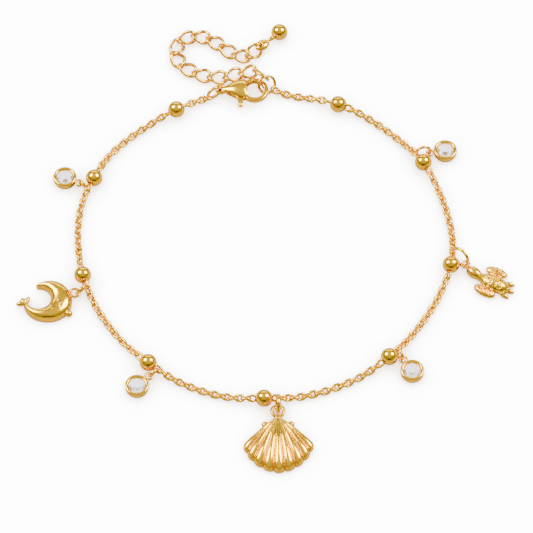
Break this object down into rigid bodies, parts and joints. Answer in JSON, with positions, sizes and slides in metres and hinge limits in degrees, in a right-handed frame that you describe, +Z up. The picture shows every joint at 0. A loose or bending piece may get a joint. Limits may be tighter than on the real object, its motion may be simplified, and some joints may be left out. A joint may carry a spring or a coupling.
{
  "type": "charm anklet",
  "caption": "Gold charm anklet with round beads on a fine cable chain, sea charms, crystal drops, a sprung lobster clasp and an extender chain, lying fastened on a flat surface.",
  "frame": {"origin": "middle of the anklet's bounding box, at the surface it lies on", "axes": "+Z up from the surface, +X to the right with the clasp at the back, +Y towards the clasp"},
  "size_m": [0.0868, 0.0904, 0.0039],
  "materials": {
    "gold": "high polish gold plating",
    "crystal": "faceted colourless crystal"
  },
  "bodies": {
    "anklet": {"bead_1": "gold", "bead_2": "gold", "bead_3": "gold", "bead_4": "gold", "bead_5": "gold", "bead_6": "gold", "bead_7": "gold", "bead_8": "gold", "bead_9": "gold", "chain_1": "gold", "chain_2": "gold", "chain_3": "gold", "chain_4": "gold", "chain_5": "gold", "chain_6": "gold", "chain_7": "gold", "chain_8": "gold", "chain_9": "gold", "chain_10": "gold", "clasp_body": "gold", "tail_ring": "gold", "hook_ring": "gold", "extender_link_1": "gold", "extender_link_2": "gold", "extender_link_3": "gold", "extender_link_4": "gold", "extender_link_5": "gold", "extender_link_6": "gold", "extender_link_7": "gold", "extender_link_8": "gold", "extender_link_9": "gold", "extender_link_10": "gold", "extender_link_11": "gold", "extender_link_12": "gold", "extender_link_13": "gold", "extender_link_14": "gold", "end_drop": "gold", "drop_1_ring": "gold", "drop_1_setting": "gold", "drop_1_stone": "crystal", "drop_2_ring": "gold", "drop_2_setting": "gold", "drop_2_stone": "crystal", "drop_3_ring": "gold", "drop_3_setting": "gold", "drop_3_stone": "crystal", "drop_4_ring": "gold", "drop_4_setting": "gold", "drop_4_stone": "crystal", "dolphin_ring": "gold", "dolphin_charm": "gold", "shell_ring": "gold", "shell_charm": "gold", "turtle_ring": "gold", "turtle_charm": "gold"},
    "lever": {"clasp_lever": "gold"}
  },
  "joints": [
    {"name": "clasp_lever_hinge", "type": "hinge", "parent": "anklet", "child": "lever", "pos_m": [-0.00481, 0.0313, 0.00145], "axis": [0, 0, -1], "range_deg": [0, 25], "stiffness_Nm_per_rad": 0.005}
  ]
}
